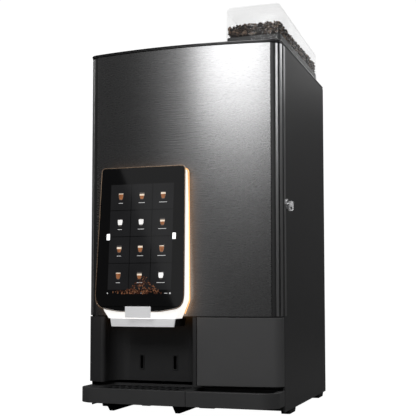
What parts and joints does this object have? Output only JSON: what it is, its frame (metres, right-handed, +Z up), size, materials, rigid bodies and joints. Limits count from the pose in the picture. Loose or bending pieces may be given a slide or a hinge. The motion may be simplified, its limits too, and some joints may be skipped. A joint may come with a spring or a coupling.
{
  "type": "hot coffee vending machine",
  "caption": "Counter-top bean-to-cup coffee vending machine with a tilted touch screen on a hinged door, cup niche, drip trays, waste drawer and clear bean hopper.",
  "frame": {"origin": "on the floor under the middle of the whole machine's box", "axes": "+Z up, -Y out of the front door, +X to the right as seen from the front"},
  "size_m": [0.476, 0.5724, 0.9255],
  "materials": {
    "cabinet_paint": "fine satin dark charcoal powder coat",
    "gloss_black": "gloss",
    "steel": "satin",
    "dark_plastic": "satin",
    "rubber": "matte",
    "bright_metal": "brushed",
    "white_plastic": "satin",
    "lit_white": "translucent, lit from inside",
    "circuit_case": "satin",
    "brass": "satin",
    "brushed_dark_steel": "fine brushed, dark tinted",
    "amber_light": "lit light guide",
    "bronze_trim": "anodised bronze",
    "screen_glass": "polished black glass",
    "display": "lit display",
    "clear_plastic": "clear moulded plastic",
    "coffee_beans": "dark roasted, satin"
  },
  "bodies": {
    "cabinet": {"side_panel_left": "cabinet_paint", "side_panel_right": "cabinet_paint", "rear_panel": "cabinet_paint", "base_pan": "cabinet_paint", "top_cover": "gloss_black", "internal_shelf": "steel", "inner_frame": "steel", "niche_housing": "dark_plastic", "sensor_window_left": "gloss_black", "sensor_window_right": "gloss_black", "foot_front_left": "rubber", "foot_rear_left": "rubber", "foot_front_right": "rubber", "foot_rear_right": "rubber", "tray_bracket_left": "dark_plastic", "tray_bracket_right": "dark_plastic", "hinge_pin_top": "steel", "hinge_pin_bottom": "steel", "lock_barrel": "bright_metal", "boiler": "steel", "water_pump": "steel", "grinder": "dark_plastic", "brew_unit": "dark_plastic", "powder_canister_left": "white_plastic", "powder_canister_right": "white_plastic", "mixer_bowl_left": "white_plastic", "mixer_bowl_right": "white_plastic", "power_supply": "circuit_case", "power_inlet": "dark_plastic", "water_inlet_valve": "brass"},
    "door": {"door_skin": "brushed_dark_steel", "door_frame": "dark_plastic", "edge_profile_left": "dark_plastic", "edge_profile_right": "dark_plastic", "pod_housing": "lit_white", "halo_ring": "amber_light", "glass_bezel": "bronze_trim", "screen_glass": "screen_glass", "display_panel": "display", "badge_plate": "white_plastic", "lower_strip": "bright_metal", "nozzle_head": "dark_plastic", "drink_outlet_left": "bright_metal", "drink_outlet_right": "bright_metal"},
    "waste_drawer": {"drawer_front": "cabinet_paint", "waste_bin": "dark_plastic"},
    "drip_tray": {"drip_tray": "dark_plastic"},
    "drip_grille": {"drip_grille": "dark_plastic"},
    "side_tray": {"side_tray": "dark_plastic"},
    "hopper": {"hopper_bin": "clear_plastic", "hopper_base": "dark_plastic", "bean_heap": "coffee_beans"},
    "hopper_lid": {"hopper_lid": "clear_plastic"},
    "grinder_burr": {"grinder_burr": "steel"},
    "powder_auger_left": {"powder_auger_left": "steel"},
    "powder_auger_right": {"powder_auger_right": "steel"},
    "brew_piston": {"brew_piston": "steel"},
    "lock_key": {"key_and_cam": "bright_metal"}
  },
  "joints": [
    {"name": "door_hinge", "type": "hinge", "parent": "cabinet", "child": "door", "pos_m": [-0.222, -0.19975, 0.5], "axis": [0, 0, -1], "range_deg": [0, 100]},
    {"name": "waste_drawer_slide", "type": "slide", "parent": "cabinet", "child": "waste_drawer", "axis": [0, -1, 0], "range_m": [0, 0.25]},
    {"name": "drip_tray_slide", "type": "slide", "parent": "cabinet", "child": "drip_tray", "axis": [0, -1, 0], "range_m": [0, 0.11]},
    {"name": "drip_grille_lift", "type": "slide", "parent": "drip_tray", "child": "drip_grille", "axis": [0, 0, 1], "range_m": [0, 0.05]},
    {"name": "side_tray_slide", "type": "slide", "parent": "cabinet", "child": "side_tray", "axis": [0, -1, 0], "range_m": [0, 0.11]},
    {"name": "hopper_lift", "type": "slide", "parent": "cabinet", "child": "hopper", "axis": [0, 0, 1], "range_m": [0, 0.12]},
    {"name": "hopper_lid_hinge", "type": "hinge", "parent": "hopper", "child": "hopper_lid", "pos_m": [0.149, 0.23585, 0.8976], "axis": [-1, 0, 0], "range_deg": [0, 95]},
    {"name": "grinder_burr_spin", "type": "hinge", "parent": "cabinet", "child": "grinder_burr", "pos_m": [0.149, 0.03025, 0.76], "axis": [0, 0, 1], "continuous": true},
    {"name": "powder_auger_left_spin", "type": "hinge", "parent": "cabinet", "child": "powder_auger_left", "pos_m": [-0.173, 0.03025, 0.575], "axis": [0, 1, 0], "continuous": true},
    {"name": "powder_auger_right_spin", "type": "hinge", "parent": "cabinet", "child": "powder_auger_right", "pos_m": [-0.063, 0.03025, 0.575], "axis": [0, 1, 0], "continuous": true},
    {"name": "brew_piston_press", "type": "slide", "parent": "cabinet", "child": "brew_piston", "axis": [0, 0, -1], "range_m": [0, 0.08]},
    {"name": "lock_turn", "type": "hinge", "parent": "cabinet", "child": "lock_key", "pos_m": [0.222, -0.16275, 0.465], "axis": [-1, 0, 0], "range_deg": [0, 90]}
  ]
}
